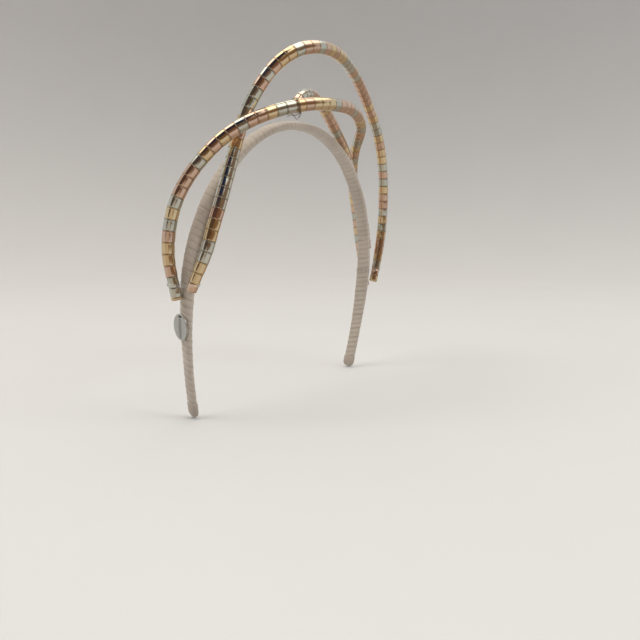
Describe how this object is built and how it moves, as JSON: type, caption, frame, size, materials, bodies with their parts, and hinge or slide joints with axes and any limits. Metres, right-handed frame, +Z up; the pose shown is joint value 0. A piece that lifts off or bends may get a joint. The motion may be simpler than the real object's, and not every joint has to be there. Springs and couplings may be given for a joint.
{
  "type": "fascinator headpiece",
  "caption": "Fascinator headband with bendable tubes of silver, gold and rose metal rings looped over a cream ribbon-wrapped band.",
  "frame": {"origin": "where the inside of the band's crown rests on the head", "axes": "+Z up; the face looks along -Y; X is left and right, with the wearer's right at -X"},
  "size_m": [0.1776, 0.0467, 0.1785],
  "materials": {
    "silver_metal": "polished",
    "gold_metal": "polished",
    "rose_metal": "polished",
    "spring_steel": "satin",
    "foam": "matte",
    "ribbon": "matte",
    "ribbon_end": "matte",
    "core_plastic": "matte",
    "thread": "gloss",
    "tie_wire": "satin",
    "tag_metal": "satin",
    "tag_inlay": "matte",
    "tag_thread": "matte"
  },
  "bodies": {
    "root": {"spring_strip": "spring_steel", "foam_padding": "foam", "ribbon_wrap": "ribbon", "right_tip_fold": "ribbon_end", "left_tip_fold": "ribbon_end", "rear_loop_core": "core_plastic", "rear_loop_silver_rings": "silver_metal", "rear_loop_gold_rings": "gold_metal", "rear_loop_rose_rings": "rose_metal", "rear_loop_right_cap": "silver_metal", "rear_loop_gold_rim": "gold_metal", "rear_loop_left_cap": "rose_metal", "front_loop_core": "core_plastic", "front_loop_silver_rings": "silver_metal", "front_loop_gold_rings": "gold_metal", "front_loop_rose_rings": "rose_metal", "front_loop_right_cap": "rose_metal", "front_loop_left_cap": "gold_metal", "short_curl_core": "core_plastic", "short_curl_silver_rings": "silver_metal", "short_curl_gold_rings": "gold_metal", "short_curl_rose_rings": "rose_metal", "short_curl_top_cap": "rose_metal", "short_curl_left_cap": "rose_metal", "right_lashing": "thread", "left_lashing": "thread", "curl_lashing": "thread", "crossing_tie": "tie_wire", "tag_disc": "tag_metal", "tag_inlay": "tag_inlay", "tag_stitches": "tag_thread"}
  },
  "joints": []
}
